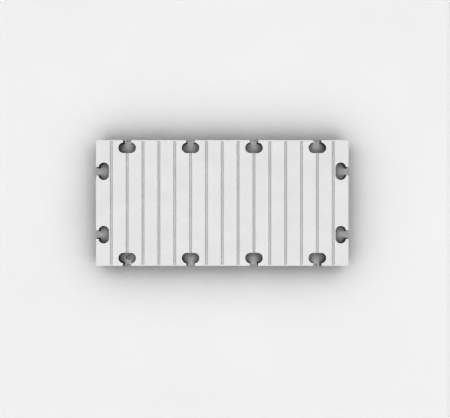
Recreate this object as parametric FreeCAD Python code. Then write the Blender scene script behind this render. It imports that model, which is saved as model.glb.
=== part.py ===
import FreeCAD, Part
from FreeCAD import Vector
import math
import os

os.makedirs("parts", exist_ok=True)

# Floating pontoon: a hollow one-piece moulded float with a grooved deck and
# keyhole coupler sockets round its rim, closed by a screwed vent plug.
# Millimetres. Origin at the middle of the underside, X along the length,
# Y across the width, Z up. The deck is at Z = HEIGHT.

# ---- driving dimensions -------------------------------------------------
LENGTH = 1994.0          # over the end faces: four pitches, less the gap
WIDTH = 994.0            # over the side faces: two pitches, less the gap
HEIGHT = 400.0           # underside to deck
WALL = 8.0               # moulded skin
CORNER_R = 10.0          # upright corners, in plan
RIM_R = 1.5              # deck edge, socket rims, mouths and lips
BOTTOM_R = 8.0           # edge of the underside

# coupler sockets, open at the deck and through the side
SOCKET_PITCH = 500.0     # along an edge, in step with the next pontoon's
SOCKET_LONG = 135.0      # of the stadium, along the edge
SOCKET_WIDE = 80.0       # of the stadium, across the edge
SOCKET_INSET = 22.5      # side face to the near side of the stadium
SOCKET_DEEP = 115.0      # deck to socket floor
SOCKET_FLOOR_R = 8.0     # wall to floor
NECK_WIDE = 64.0         # opening through the side, at the deck
NECK_FOOT = 56.0         # and at the socket floor
SHOULDER_R = 2.0         # where the neck meets the stadium

# half-round channels for the coupler bolts, down the side under each socket
CHANNEL_R = 12.0
CHANNEL_LIP = 3.0        # rounding of the channel's long edges

# cross grooves in the deck, a vee with a small round root
GROOVE_PITCH = 125.0
GROOVE_COUNT = 15
GROOVE_WIDE = 22.4       # at the deck, before its edges are eased
GROOVE_DEEP = 10.2
GROOVE_FLAT = 1.6        # root width before it is rounded
GROOVE_FLOOR_R = 1.75
GROOVE_EDGE_R = 1.0
GROOVE_START = 8.0       # closed end, from the side face
GROOVE_FULL = 22.0       # full depth reached, from the side face
GROOVE_END_R = 4.0       # foot of the end slope

# vent port in the floor of one socket, with its plug and gasket
PORT_X = -750.0
PORT_Y = -434.5
PORT_RECESS_R = 17.0
PORT_RECESS_DEEP = 10.0
PORT_BORE_R = 10.0
PORT_BOSS_R = 25.0
PORT_BOSS_DEEP = 40.0    # below the socket floor
PLUG_HEAD_R = 13.5
PLUG_HEAD_THICK = 7.0
PLUG_SHANK_R = 9.8
PLUG_SHANK_LONG = 26.0
PLUG_HEX = 12.0          # across flats
PLUG_HEX_DEEP = 4.5
GASKET_IN_R = 10.2
GASKET_OUT_R = 13.2
GASKET_THICK = 2.0

HL, HW = LENGTH / 2, WIDTH / 2
LONG_SOCKETS = round(LENGTH / SOCKET_PITCH)
SHORT_SOCKETS = round(WIDTH / SOCKET_PITCH)
SOCKET_Z = HEIGHT - SOCKET_DEEP


def prism(points, height, direction):
    """Closed polygon or wire of edges, pushed along a direction."""
    face = Part.Face(Part.Wire(points))
    return face.extrude(Vector(*direction) * height)


def keyhole(grow, floor_z, top_z, floor_r, reach):
    """Socket void in local axes: u along the edge, v inward from the side
    face, at v = 0. grow widens it all round, for the skin behind it."""
    r = SOCKET_WIDE / 2 + grow
    half = (SOCKET_LONG - SOCKET_WIDE) / 2
    vc = SOCKET_INSET + SOCKET_WIDE / 2
    z = floor_z
    # the head space, an upright stadium
    corners = [Vector(half, vc - r, z), Vector(half, vc + r, z),
               Vector(-half, vc + r, z), Vector(-half, vc - r, z)]
    head = prism([Part.Arc(corners[0], Vector(half + r, vc, z), corners[1]).toShape(),
                  Part.makeLine(corners[1], corners[2]),
                  Part.Arc(corners[2], Vector(-half - r, vc, z), corners[3]).toShape(),
                  Part.makeLine(corners[3], corners[0])], top_z - z, (0, 0, 1))
    # the neck, drafted: its sides draw in from the deck to the floor
    draft = (NECK_WIDE - NECK_FOOT) / 2 / SOCKET_DEEP
    low = NECK_WIDE / 2 + grow - (HEIGHT - z) * draft
    top = NECK_WIDE / 2 + grow + (top_z - HEIGHT) * draft
    ends = [Vector(-low, -reach, z), Vector(low, -reach, z),
            Vector(top, -reach, top_z), Vector(-top, -reach, top_z)]
    neck = prism([Part.makeLine(ends[i], ends[(i + 1) % 4]) for i in range(4)],
                 reach + vc, (0, 1, 0))
    tool = head.fuse(neck).removeSplitter()
    # where the neck meets the head space, on the material's side
    sr = SHOULDER_R - grow
    if sr > 0:
        corner = [e for e in tool.Edges
                  if e.BoundBox.ZLength > (top_z - z) * 0.9
                  and e.BoundBox.YMin > 0 and e.BoundBox.YMax < vc
                  and abs(e.BoundBox.XMax + e.BoundBox.XMin) / 2 > half - 1]
        tool = tool.makeFillet(sr, corner)
    under = [e for e in tool.Edges
             if abs(e.BoundBox.ZMax - z) < 1e-6
             and not (abs(e.BoundBox.YMin + reach) < 1e-6
                      and abs(e.BoundBox.YMax + reach) < 1e-6)]
    return tool.makeFillet(floor_r, under)


def channel(radius, lip, z0, z1):
    """Half-round void down the side face, in the socket's local axes."""
    if lip <= 0:
        c = Part.makeCylinder(radius, z1 - z0, Vector(0, 0, z0))
        return c
    # the long edges are rounded nearly to tangent with the side face
    ang = math.radians(70)
    cu = math.sqrt((radius + lip) ** 2 - lip ** 2)
    k = radius / (radius + lip)
    t = Vector(cu * k, lip * k, z0)
    e = Vector(cu - lip * math.cos(ang), lip - lip * math.sin(ang), z0)
    # middle of the lip arc: halfway in angle between t and e
    a1 = math.atan2(t.y - lip, t.x - cu)
    a2 = math.atan2(e.y - lip, e.x - cu)
    if a1 < 0:
        a1 += 2 * math.pi
    if a2 < 0:
        a2 += 2 * math.pi
    am = (a1 + a2) / 2
    m = Vector(cu + lip * math.cos(am), lip + lip * math.sin(am), z0)
    # outward from e the void widens in a straight line past the side face
    out = 5.0
    slope = math.tan(ang)
    f = Vector(e.x + (e.y + out) * slope, -out, z0)

    def mir(p):
        return Vector(-p.x, p.y, p.z)
    edges = [Part.Arc(t, Vector(0, radius, z0), mir(t)).toShape(),
             Part.Arc(mir(t), mir(m), mir(e)).toShape(),
             Part.makeLine(mir(e), mir(f)),
             Part.makeLine(mir(f), f),
             Part.makeLine(f, e),
             Part.Arc(e, m, t).toShape()]
    return prism(edges, z1 - z0, (0, 0, 1))


def places():
    """Each socket: middle of its mouth on the side face, and its turn."""
    out = []
    for i in range(LONG_SOCKETS):
        x = SOCKET_PITCH * (i - (LONG_SOCKETS - 1) / 2)
        out.append((x, -HW, 0.0))
        out.append((x, HW, 180.0))
    for i in range(SHORT_SOCKETS):
        y = SOCKET_PITCH * (i - (SHORT_SOCKETS - 1) / 2)
        out.append((HL, y, 90.0))
        out.append((-HL, y, -90.0))
    return out


def put(shape, place):
    s = shape.copy()
    s.rotate(Vector(0, 0, 0), Vector(0, 0, 1), place[2])
    s.translate(Vector(place[0], place[1], 0))
    return s


def groove(open_ends):
    """One cross groove about X = 0: its section along Y, cut off by its
    long section, so that a closed end runs out in a slope."""
    hw, hf, d = GROOVE_WIDE / 2, GROOVE_FLAT / 2, GROOVE_DEEP
    z = HEIGHT
    up = 6.0
    # section in XZ: floor, slanted walls with rounded foot, eased edge
    wall = Vector(hw - hf, 0, d)
    ease = GROOVE_EDGE_R
    y0 = -HW - 20
    a = Vector(-hf, y0, z - d)
    b = Vector(hf, y0, z - d)
    top_r = Vector(hw, y0, z)
    top_l = Vector(-hw, y0, z)
    # the easing leaves the wall a little under the deck and runs past it
    t = ease / wall.Length
    wr = Vector(hw - wall.x * t, y0, z - wall.z * t)
    wl = Vector(-wr.x, y0, wr.z)
    er = Vector(hw + ease, y0, z + ease * 0.35)
    el = Vector(-er.x, y0, er.z)
    mr = Vector(hw + ease * 0.28, y0, z - ease * 0.30)
    ml = Vector(-mr.x, y0, mr.z)
    ur = Vector(hw + ease, y0, z + up)
    ul = Vector(-hw - ease, y0, z + up)
    edges = [Part.makeLine(a, b), Part.makeLine(b, wr),
             Part.Arc(wr, mr, er).toShape(), Part.makeLine(er, ur),
             Part.makeLine(ur, ul), Part.makeLine(ul, el),
             Part.Arc(el, ml, wl).toShape(), Part.makeLine(wl, a)]
    run = prism(edges, WIDTH + 40, (0, 1, 0))
    foot = [e for e in run.Edges
            if abs(e.BoundBox.ZMax - (z - d)) < 1e-6
            and e.BoundBox.YLength > WIDTH]
    run = run.makeFillet(GROOVE_FLOOR_R, foot)
    if open_ends:
        e = HW - SOCKET_INSET - SOCKET_WIDE / 2
        return run.common(Part.makeBox(
            100, 2 * e, 60, Vector(-50, -e, z - 40)))
    # long section in YZ: a straight slope up to the deck at each end
    y_out = HW - GROOVE_START
    y_in = HW - GROOVE_FULL
    y_up = y_out + (y_out - y_in) / d * up
    corners = [Vector(-50, -y_in, z - d), Vector(-50, y_in, z - d),
               Vector(-50, y_up, z + up), Vector(-50, -y_up, z + up)]
    edges = [Part.makeLine(corners[i], corners[(i + 1) % 4]) for i in range(4)]
    trim = prism(edges, 100, (1, 0, 0))
    turn = [e for e in trim.Edges
            if abs(e.BoundBox.ZMax - (z - d)) < 1e-6 and e.BoundBox.XLength > 99]
    trim = trim.makeFillet(GROOVE_END_R, turn)
    return run.common(trim)


# ---- outside of the hull ------------------------------------------------
hull = Part.makeBox(LENGTH, WIDTH, HEIGHT, Vector(-HL, -HW, 0))
upright = [e for e in hull.Edges if e.BoundBox.ZLength > HEIGHT / 2]
hull = hull.makeFillet(CORNER_R, upright)
foot = [e for e in hull.Edges if e.BoundBox.ZMax < 1e-6]
hull = hull.makeFillet(BOTTOM_R, foot)

key = keyhole(0.0, SOCKET_Z, HEIGHT + 0.5, SOCKET_FLOOR_R, 30.0)
sockets = [put(key, p) for p in places()]
hull = hull.cut(sockets)

# deck edge, socket rims, and the mouths and lips in the side faces
rim = []
for e in hull.Edges:
    b = e.BoundBox
    if abs(b.ZMin - HEIGHT) < 1e-6:
        rim.append(e)
        continue
    if b.ZMin > SOCKET_Z - 1e-3:
        flat_x = b.XLength < 1e-6 and abs(abs(b.XMin) - HL) < 1e-6
        flat_y = b.YLength < 1e-6 and abs(abs(b.YMin) - HW) < 1e-6
        if flat_x or flat_y:
            rim.append(e)
hull = hull.makeFillet(RIM_R, rim)

slot = channel(CHANNEL_R, CHANNEL_LIP, -20, SOCKET_Z + 20)
hull = hull.cut([put(slot, p) for p in places()])

# deck grooves
socket_x = [SOCKET_PITCH * (i - (LONG_SOCKETS - 1) / 2) for i in range(LONG_SOCKETS)]
shut, through = groove(False), groove(True)
cuts = []
for i in range(GROOVE_COUNT):
    x = (i - (GROOVE_COUNT - 1) / 2) * GROOVE_PITCH
    g = (through if any(abs(x - s) < 1 for s in socket_x) else shut).copy()
    g.translate(Vector(x, 0, 0))
    cuts.append(g)
hull = hull.cut(cuts)

# ---- inside of the skin -------------------------------------------------
inside = Part.makeBox(LENGTH - 2 * WALL, WIDTH - 2 * WALL, HEIGHT - 2 * WALL,
                      Vector(-HL + WALL, -HW + WALL, WALL))
bump_key = keyhole(WALL, SOCKET_Z - WALL, HEIGHT + 5, SOCKET_FLOOR_R + WALL, 30.0)
bump_slot = channel(CHANNEL_R + WALL, 0, -20, SOCKET_Z)
# the skin follows the vee of each groove at its own thickness
run = (GROOVE_WIDE - GROOVE_FLAT) / 2
grow = WALL * math.tan(math.atan2(GROOVE_DEEP, run) / 2)
low = HEIGHT - WALL - GROOVE_DEEP
foot_x = GROOVE_FLAT / 2 + grow
top_x = foot_x + run * 1.5
corners = [Vector(-foot_x, -HW - 20, low), Vector(foot_x, -HW - 20, low),
           Vector(top_x, -HW - 20, low + GROOVE_DEEP * 1.5),
           Vector(-top_x, -HW - 20, low + GROOVE_DEEP * 1.5)]
ridge = prism([Part.makeLine(corners[i], corners[(i + 1) % 4]) for i in range(4)],
              WIDTH + 40, (0, 1, 0))
under = [e for e in ridge.Edges if e.BoundBox.ZMax < low + 1e-6
         and e.BoundBox.YLength > WIDTH]
ridge = ridge.makeFillet(WALL, under)
bumps = []
for p in places():
    bumps.append(put(bump_key, p))
    bumps.append(put(bump_slot, p))
for i in range(GROOVE_COUNT):
    x = (i - (GROOVE_COUNT - 1) / 2) * GROOVE_PITCH
    g = ridge.copy()
    g.translate(Vector(x, 0, 0))
    bumps.append(g)
bumps.append(Part.makeCylinder(PORT_BOSS_R, PORT_BOSS_DEEP + 10,
                               Vector(PORT_X, PORT_Y, SOCKET_Z - PORT_BOSS_DEEP)))
inside = inside.cut(bumps)
hull = hull.cut(inside)

# vent port: recess in the socket floor and the bore through its boss
recess = Part.makeCylinder(PORT_RECESS_R, PORT_RECESS_DEEP + 10,
                           Vector(PORT_X, PORT_Y, SOCKET_Z - PORT_RECESS_DEEP))
bore = Part.makeCylinder(PORT_BORE_R, PORT_BOSS_DEEP + 10,
                         Vector(PORT_X, PORT_Y, SOCKET_Z - PORT_BOSS_DEEP - 5))
ease = Part.makeCone(PORT_RECESS_R, PORT_RECESS_R + 1.5, 1.5,
                     Vector(PORT_X, PORT_Y, SOCKET_Z - 1.5))
hull = hull.cut([recess, bore, ease])

# ---- vent plug ----------------------------------------------------------
seat_z = SOCKET_Z - PORT_RECESS_DEEP
head_z = seat_z + GASKET_THICK
head = Part.makeCylinder(PLUG_HEAD_R, PLUG_HEAD_THICK, Vector(PORT_X, PORT_Y, head_z))
rim_edges = [e for e in head.Edges if e.BoundBox.ZMin > head_z + PLUG_HEAD_THICK - 1e-6]
head = head.makeFillet(1.5, rim_edges)
shank = Part.makeCylinder(PLUG_SHANK_R, PLUG_SHANK_LONG,
                          Vector(PORT_X, PORT_Y, head_z - PLUG_SHANK_LONG))
tip = [e for e in shank.Edges if e.BoundBox.ZMax < head_z - PLUG_SHANK_LONG + 1e-6]
shank = shank.makeChamfer(1.5, tip)
plug = head.fuse(shank).removeSplitter()
c = PLUG_HEX / 2 / math.cos(math.pi / 6)
hexagon = Part.makePolygon([Vector(PORT_X + c * math.cos(math.pi / 3 * k),
                                   PORT_Y + c * math.sin(math.pi / 3 * k),
                                   head_z + PLUG_HEAD_THICK - PLUG_HEX_DEEP)
                            for k in range(7)])
drive = Part.Face(hexagon).extrude(Vector(0, 0, PLUG_HEX_DEEP + 5))
plug = plug.cut(drive)

# ---- gasket under the plug's head ---------------------------------------
gasket = Part.makeCylinder(GASKET_OUT_R, GASKET_THICK, Vector(PORT_X, PORT_Y, seat_z))
gasket = gasket.cut(Part.makeCylinder(GASKET_IN_R, GASKET_THICK + 2,
                                      Vector(PORT_X, PORT_Y, seat_z - 1)))


def write(name, shape):
    if shape.ShapeType == "Compound" and len(shape.Solids) == 1:
        shape = shape.Solids[0]
    b = shape.BoundBox
    print(name, shape.ShapeType, "solids", len(shape.Solids), "shells",
          len(shape.Shells), "valid", shape.isValid(),
          "volume %.0f mm3" % shape.Volume,
          "box %.2f %.2f %.2f  %.2f %.2f %.2f" % (b.XMin, b.YMin, b.ZMin,
                                               b.XMax, b.YMax, b.ZMax))
    shape.exportStep("parts/%s.step" % name)


write("pontoon_hull", hull)
write("vent_plug", plug)
write("plug_gasket", gasket)
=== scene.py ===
import bpy
import math
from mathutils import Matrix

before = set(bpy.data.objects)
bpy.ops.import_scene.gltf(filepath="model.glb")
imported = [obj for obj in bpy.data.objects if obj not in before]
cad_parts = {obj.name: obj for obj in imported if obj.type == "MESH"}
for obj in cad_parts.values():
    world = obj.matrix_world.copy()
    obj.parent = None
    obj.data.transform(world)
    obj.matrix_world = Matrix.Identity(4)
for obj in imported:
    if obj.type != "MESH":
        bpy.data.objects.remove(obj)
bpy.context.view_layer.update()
scene = bpy.context.scene

# ---- the photograph's view ---------------------------------------------
# Straight down, the axis a little right of and in front of the deck's middle.
DECK_Z = 0.4
VIEW_X, VIEW_Y = 0.0216, -0.0477       # where the axis meets the deck
VIEW_UP = 8.5                          # above the deck
HALF_W = 225 * 0.007886               # half the picture's width, at the deck

cam_data = bpy.data.cameras.new("camera")
cam_data.sensor_fit = "HORIZONTAL"
cam_data.sensor_width = 36.0
cam_data.lens = 18.0 * VIEW_UP / HALF_W
cam_data.clip_end = 200.0
cam = bpy.data.objects.new("camera", cam_data)
cam.location = (VIEW_X, VIEW_Y, DECK_Z + VIEW_UP)
cam.rotation_euler = (0.0, 0.0, 0.0)
scene.collection.objects.link(cam)
scene.camera = cam

# the photograph's tones: a straight, contrasty display curve
scene.view_settings.view_transform = "Standard"
scene.view_settings.look = "None"
scene.view_settings.exposure = 0.0
scene.view_settings.gamma = 0.35

# ---- light: a studio dome, brightest overhead ----------------------------
# (elevation the band starts at, in degrees, and its radiance)
SKY = ((0.0, 0.36), (5.0, 0.36), (15.0, 0.36), (30.0, 0.98), (45.0, 1.58), (60.0, 3.24), (70.0, 5.80), (80.0, 4.8))
SKY_MAX = max(v for _, v in SKY)
BACKDROP = 0.96

world = bpy.data.worlds.new("studio")
world.use_nodes = True
wt = world.node_tree
bg = wt.nodes["Background"]
bg.inputs["Strength"].default_value = SKY_MAX
sky_dir = wt.nodes.new("ShaderNodeTexCoord")
sky_xyz = wt.nodes.new("ShaderNodeSeparateXYZ")
sky_angle = wt.nodes.new("ShaderNodeMath")
sky_angle.operation = "ARCSINE"
sky_turn = wt.nodes.new("ShaderNodeMath")
sky_turn.operation = "MULTIPLY"
sky_turn.inputs[1].default_value = 2.0 / math.pi
sky_ramp = wt.nodes.new("ShaderNodeValToRGB")
wt.links.new(sky_dir.outputs["Generated"], sky_xyz.inputs["Vector"])
wt.links.new(sky_xyz.outputs["Z"], sky_angle.inputs[0])
wt.links.new(sky_angle.outputs[0], sky_turn.inputs[0])
wt.links.new(sky_turn.outputs[0], sky_ramp.inputs["Fac"])
wt.links.new(sky_ramp.outputs["Color"], bg.inputs["Color"])
ramp = sky_ramp.color_ramp
ramp.interpolation = "CONSTANT"
while len(ramp.elements) > 1:
    ramp.elements.remove(ramp.elements[-1])
ramp.elements[0].position = 0.0
for i, (angle, value) in enumerate(SKY):
    stop = ramp.elements[0] if i == 0 else ramp.elements.new(angle / 90.0)
    v = value / SKY_MAX
    stop.color = (v, v, v, 1.0)
# the camera sees a plain pale backdrop behind the floor's far edge
backdrop = wt.nodes.new("ShaderNodeBackground")
backdrop.inputs["Color"].default_value = (1.0, 1.0, 1.0, 1.0)
backdrop.inputs["Strength"].default_value = BACKDROP
seen = wt.nodes.new("ShaderNodeLightPath")
either = wt.nodes.new("ShaderNodeMixShader")
wt.links.new(seen.outputs["Is Camera Ray"], either.inputs[0])
wt.links.new(bg.outputs["Background"], either.inputs[1])
wt.links.new(backdrop.outputs["Background"], either.inputs[2])
wt.links.new(either.outputs["Shader"], wt.nodes["World Output"].inputs["Surface"])
scene.world = world


# ---- node helpers --------------------------------------------------------
class Nodes:
    """A material's node tree, with short calls for the nodes used here."""

    def __init__(self, name):
        self.mat = bpy.data.materials.new(name)
        self.mat.use_nodes = True
        self.nt = self.mat.node_tree
        self.nt.nodes.clear()
        self.out = self.nt.nodes.new("ShaderNodeOutputMaterial")
        self.bsdf = self.nt.nodes.new("ShaderNodeBsdfPrincipled")
        self.nt.links.new(self.bsdf.outputs["BSDF"], self.out.inputs["Surface"])
        self.coord = self.nt.nodes.new("ShaderNodeTexCoord")

    def link(self, a, b):
        self.nt.links.new(a, b)

    def noise(self, scale, detail=2.0, rough=0.5, stretch=None, vec=None):
        n = self.nt.nodes.new("ShaderNodeTexNoise")
        n.inputs["Scale"].default_value = scale
        n.inputs["Detail"].default_value = detail
        n.inputs["Roughness"].default_value = rough
        src = vec or self.coord.outputs["Object"]
        if stretch:
            m = self.nt.nodes.new("ShaderNodeMapping")
            m.inputs["Scale"].default_value = stretch
            self.link(src, m.inputs["Vector"])
            src = m.outputs["Vector"]
        self.link(src, n.inputs["Vector"])
        return n.outputs["Fac"]

    def math(self, op, a, b=None, clamp=False):
        n = self.nt.nodes.new("ShaderNodeMath")
        n.operation = op
        n.use_clamp = clamp
        for i, v in enumerate((a, b)):
            if v is None:
                continue
            if isinstance(v, (int, float)):
                n.inputs[i].default_value = v
            else:
                self.link(v, n.inputs[i])
        return n.outputs[0]

    def painted_shade_in_hollows(self, reach, z0, z1):
        """Mask for painted shade: 1 on upright faces deep in a hollow narrower than reach,
        0 in the open, and fading out between the heights z0 and z1."""
        geo = self.nt.nodes.new("ShaderNodeNewGeometry")
        xyz = self.nt.nodes.new("ShaderNodeSeparateXYZ")
        self.link(geo.outputs["Normal"], xyz.inputs["Vector"])
        upright = self.math("SUBTRACT", 1.0, self.math("ABSOLUTE", xyz.outputs["Z"]), clamp=True)
        ao = self.nt.nodes.new("ShaderNodeAmbientOcclusion")
        ao.samples = 8
        ao.inputs["Distance"].default_value = reach
        shut = self.math("MULTIPLY", upright, self.math("SUBTRACT", 1.0, ao.outputs["AO"], clamp=True))
        place = self.nt.nodes.new("ShaderNodeSeparateXYZ")
        self.link(self.coord.outputs["Object"], place.inputs["Vector"])
        return self.math("MULTIPLY", shut, self.remap(place.outputs["Z"], z0, z1, 1.0, 0.0))

    def remap(self, value, a0, a1, b0, b1):
        n = self.nt.nodes.new("ShaderNodeMapRange")
        for key, v in (("From Min", a0), ("From Max", a1), ("To Min", b0), ("To Max", b1)):
            n.inputs[key].default_value = v
        self.link(value, n.inputs["Value"])
        return n.outputs["Result"]

    def grey(self, value):
        n = self.nt.nodes.new("ShaderNodeCombineColor")
        for key in ("Red", "Green", "Blue"):
            self.link(value, n.inputs[key])
        return n.outputs["Color"]

    def bump(self, height, strength, distance, normal=None):
        n = self.nt.nodes.new("ShaderNodeBump")
        n.inputs["Strength"].default_value = strength
        n.inputs["Distance"].default_value = distance
        self.link(height, n.inputs["Height"])
        if normal is not None:
            self.link(normal, n.inputs["Normal"])
        return n.outputs["Normal"]


# ---- materials -----------------------------------------------------------
def hull_plastic():
    """Light grey moulded polyethylene: a matt grain, a faint cloudiness and
    flecks from the powder, and the slow waviness of a large moulded wall.
    Upright walls inside the hollows are darkened with painted shade."""
    n = Nodes("hull_plastic")
    cloud = n.noise(5.0, 3.0, 0.55)
    patch = n.noise(38.0, 3.0, 0.6)
    fleck = n.noise(900.0, 1.0, 0.5)
    tone = n.math("ADD", n.remap(cloud, 0.3, 0.7, -0.006, 0.006),
                  n.remap(patch, 0.3, 0.7, -0.005, 0.005))
    tone = n.math("ADD", tone, n.remap(fleck, 0.30, 0.70, -0.018, 0.018))
    tone = n.math("ADD", tone, HULL_TONE)
    # painted shade: upright faces deep in the hull's hollows are darkened through an ambient-occlusion mask
    tone = n.math("MULTIPLY", tone, n.remap(n.painted_shade_in_hollows(0.15, 0.378, 0.385), 0.0, 1.0, 1.0, PAINTED_WALL_SHADE))
    n.link(n.grey(tone), n.bsdf.inputs["Base Color"])
    rough = n.math("ADD", n.remap(patch, 0.3, 0.7, -0.05, 0.05),
                   n.remap(fleck, 0.3, 0.7, -0.04, 0.04))
    n.link(n.math("ADD", rough, 0.58, clamp=True), n.bsdf.inputs["Roughness"])
    n.bsdf.inputs["Specular IOR Level"].default_value = 0.2
    wave = n.noise(9.0, 2.0, 0.5)
    peel = n.noise(160.0, 2.0, 0.5)
    grain = n.noise(1300.0, 2.0, 0.6)
    b = n.bump(wave, 0.06, 0.0012)
    b = n.bump(peel, 0.10, 0.0002, b)
    b = n.bump(grain, 0.25, 0.00012, b)
    n.link(b, n.bsdf.inputs["Normal"])
    return n.mat


def plug_plastic():
    """Satin injection-moulded grey."""
    n = Nodes("plug_plastic")
    patch = n.noise(120.0, 2.0, 0.5)
    grain = n.noise(2400.0, 1.0, 0.5)
    tone = n.math("ADD", n.remap(patch, 0.3, 0.7, -0.01, 0.01), PLUG_TONE)
    n.link(n.grey(tone), n.bsdf.inputs["Base Color"])
    n.link(n.remap(patch, 0.3, 0.7, 0.36, 0.46), n.bsdf.inputs["Roughness"])
    n.bsdf.inputs["Specular IOR Level"].default_value = 0.45
    n.link(n.bump(grain, 0.2, 0.00006), n.bsdf.inputs["Normal"])
    return n.mat


def gasket_rubber():
    """Matt black sealing rubber."""
    n = Nodes("gasket_rubber")
    patch = n.noise(300.0, 3.0, 0.6)
    grain = n.noise(3000.0, 2.0, 0.6)
    n.link(n.grey(n.remap(patch, 0.3, 0.7, 0.018, 0.030)), n.bsdf.inputs["Base Color"])
    n.link(n.remap(patch, 0.3, 0.7, 0.72, 0.86), n.bsdf.inputs["Roughness"])
    n.bsdf.inputs["Specular IOR Level"].default_value = 0.3
    n.link(n.bump(grain, 0.3, 0.00005), n.bsdf.inputs["Normal"])
    return n.mat


def floor_paper():
    n = Nodes("floor_paper")
    patch = n.noise(0.8, 2.0, 0.5)
    n.link(n.grey(n.remap(patch, 0.3, 0.7, FLOOR_TONE - 0.002, FLOOR_TONE + 0.002)),
           n.bsdf.inputs["Base Color"])
    n.bsdf.inputs["Roughness"].default_value = 1.0
    n.bsdf.inputs["Specular IOR Level"].default_value = 0.0
    return n.mat


# how far the painted shade darkens fully occluded hollow walls
PAINTED_WALL_SHADE = 0.85
HULL_TONE = 0.498
PLUG_TONE = 0.42
FLOOR_TONE = 0.532

mats = {"pontoon_hull": hull_plastic(), "vent_plug": plug_plastic(), "plug_gasket": gasket_rubber()}
for name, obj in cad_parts.items():
    for slot in obj.material_slots:
        slot.material = mats[name]

# ---- floor ---------------------------------------------------------------
floor_mesh = bpy.data.meshes.new("floor")
s = 60.0
floor_mesh.from_pydata([(-s, -s, 0), (s, -s, 0), (s, s, 0), (-s, s, 0)], [], [(0, 1, 2, 3)])
floor_mesh.materials.append(floor_paper())
floor = bpy.data.objects.new("floor", floor_mesh)
scene.collection.objects.link(floor)

# ---- a clean black and white picture, as the photograph is ---------------
scene.use_nodes = True
ct = scene.node_tree
ct.nodes.clear()
layers = ct.nodes.new("CompositorNodeRLayers")
clean = ct.nodes.new("CompositorNodeDenoise")
clean.use_hdr = True
to_grey = ct.nodes.new("CompositorNodeRGBToBW")
picture = ct.nodes.new("CompositorNodeComposite")
ct.links.new(layers.outputs["Image"], clean.inputs["Image"])
ct.links.new(clean.outputs["Image"], to_grey.inputs["Image"])
ct.links.new(to_grey.outputs["Val"], picture.inputs["Image"])
